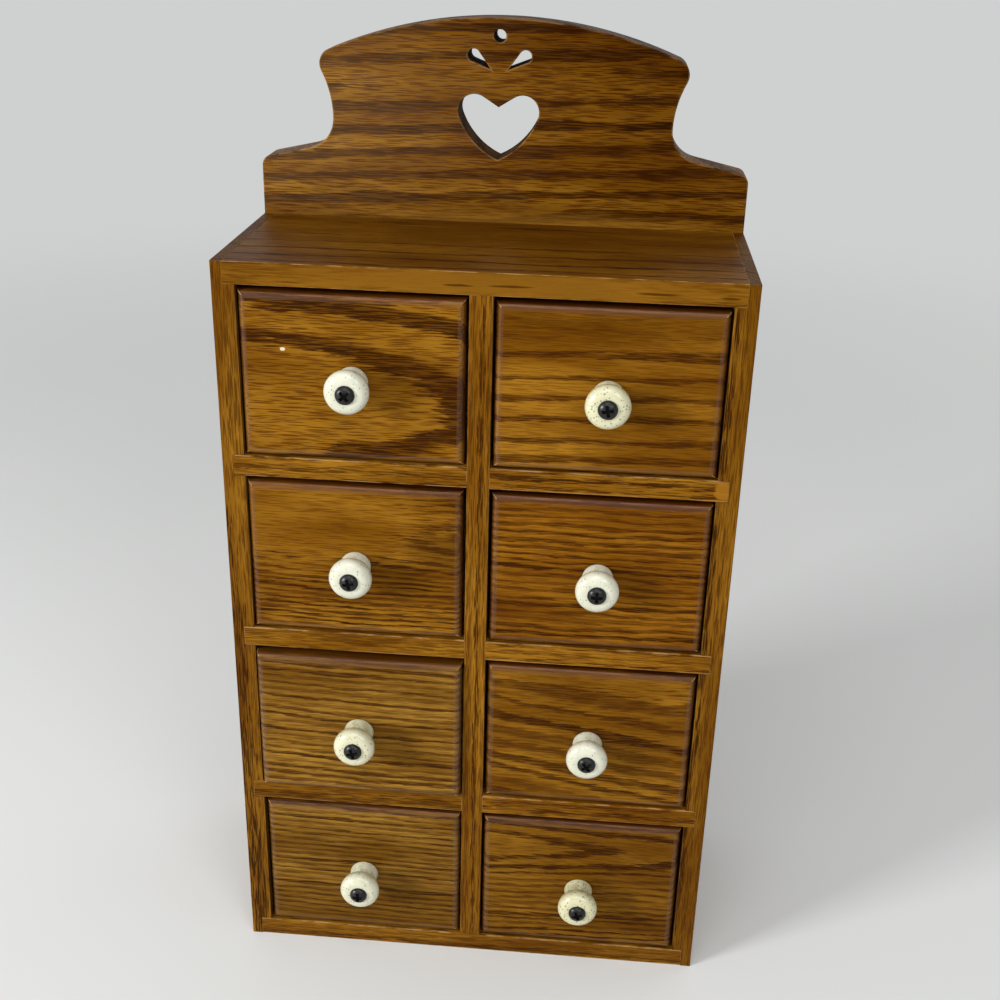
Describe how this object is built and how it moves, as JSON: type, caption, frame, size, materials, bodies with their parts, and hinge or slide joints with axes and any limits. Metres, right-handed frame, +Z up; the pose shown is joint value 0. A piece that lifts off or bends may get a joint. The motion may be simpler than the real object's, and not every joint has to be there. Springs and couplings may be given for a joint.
{
  "type": "spice cabinet",
  "caption": "Small oak spice cabinet: columns of inset drawers with glazed ceramic knobs in a grooved case under a shaped crest board with a heart cut-out and a hanging hole.",
  "frame": {"origin": "centre of the case's underside, where the cabinet stands", "axes": "+Z up, the drawers face -Y, +Y is the wall side, +X to the right as seen from the front"},
  "size_m": [0.23, 0.1377, 0.4535],
  "materials": {
    "case_oak": "satin lacquer on stained oak",
    "crest_oak": "satin lacquer on stained oak",
    "front_oak": "satin lacquer on stained oak",
    "drawer_wood": "bare planed wood",
    "panel_wood": "bare plywood",
    "glaze": "cream glaze with dark specks",
    "black_steel": "black oxide",
    "bright_steel": "bright zinc"
  },
  "bodies": {
    "case": {"left_side": "case_oak", "right_side": "case_oak", "top_board": "case_oak", "bottom_board": "case_oak", "centre_divider": "case_oak", "left_shelves": "case_oak", "right_shelves": "case_oak", "back_panel": "panel_wood", "back_panel_brads": "bright_steel", "crest_board": "crest_oak", "crest_screws": "bright_steel"},
    "drawer_1_left": {"drawer_1_left_front": "front_oak", "drawer_1_left_sides": "drawer_wood", "drawer_1_left_back": "drawer_wood", "drawer_1_left_bottom": "panel_wood", "drawer_1_left_knob": "glaze", "drawer_1_left_screw": "black_steel"},
    "drawer_1_right": {"drawer_1_right_front": "front_oak", "drawer_1_right_sides": "drawer_wood", "drawer_1_right_back": "drawer_wood", "drawer_1_right_bottom": "panel_wood", "drawer_1_right_knob": "glaze", "drawer_1_right_screw": "black_steel"},
    "drawer_2_left": {"drawer_2_left_front": "front_oak", "drawer_2_left_sides": "drawer_wood", "drawer_2_left_back": "drawer_wood", "drawer_2_left_bottom": "panel_wood", "drawer_2_left_knob": "glaze", "drawer_2_left_screw": "black_steel"},
    "drawer_2_right": {"drawer_2_right_front": "front_oak", "drawer_2_right_sides": "drawer_wood", "drawer_2_right_back": "drawer_wood", "drawer_2_right_bottom": "panel_wood", "drawer_2_right_knob": "glaze", "drawer_2_right_screw": "black_steel"},
    "drawer_3_left": {"drawer_3_left_front": "front_oak", "drawer_3_left_sides": "drawer_wood", "drawer_3_left_back": "drawer_wood", "drawer_3_left_bottom": "panel_wood", "drawer_3_left_knob": "glaze", "drawer_3_left_screw": "black_steel"},
    "drawer_3_right": {"drawer_3_right_front": "front_oak", "drawer_3_right_sides": "drawer_wood", "drawer_3_right_back": "drawer_wood", "drawer_3_right_bottom": "panel_wood", "drawer_3_right_knob": "glaze", "drawer_3_right_screw": "black_steel"},
    "drawer_4_left": {"drawer_4_left_front": "front_oak", "drawer_4_left_sides": "drawer_wood", "drawer_4_left_back": "drawer_wood", "drawer_4_left_bottom": "panel_wood", "drawer_4_left_knob": "glaze", "drawer_4_left_screw": "black_steel"},
    "drawer_4_right": {"drawer_4_right_front": "front_oak", "drawer_4_right_sides": "drawer_wood", "drawer_4_right_back": "drawer_wood", "drawer_4_right_bottom": "panel_wood", "drawer_4_right_knob": "glaze", "drawer_4_right_screw": "black_steel"}
  },
  "joints": [
    {"name": "drawer_1_left_slide", "type": "slide", "parent": "case", "child": "drawer_1_left", "axis": [0, -1, 0], "range_m": [0, 0.08]},
    {"name": "drawer_1_right_slide", "type": "slide", "parent": "case", "child": "drawer_1_right", "axis": [0, -1, 0], "range_m": [0, 0.08]},
    {"name": "drawer_2_left_slide", "type": "slide", "parent": "case", "child": "drawer_2_left", "axis": [0, -1, 0], "range_m": [0, 0.08]},
    {"name": "drawer_2_right_slide", "type": "slide", "parent": "case", "child": "drawer_2_right", "axis": [0, -1, 0], "range_m": [0, 0.08]},
    {"name": "drawer_3_left_slide", "type": "slide", "parent": "case", "child": "drawer_3_left", "axis": [0, -1, 0], "range_m": [-0.004, 0.08]},
    {"name": "drawer_3_right_slide", "type": "slide", "parent": "case", "child": "drawer_3_right", "axis": [0, -1, 0], "range_m": [0, 0.08]},
    {"name": "drawer_4_left_slide", "type": "slide", "parent": "case", "child": "drawer_4_left", "axis": [0, -1, 0], "range_m": [0, 0.08]},
    {"name": "drawer_4_right_slide", "type": "slide", "parent": "case", "child": "drawer_4_right", "axis": [0, -1, 0], "range_m": [0, 0.08]}
  ]
}
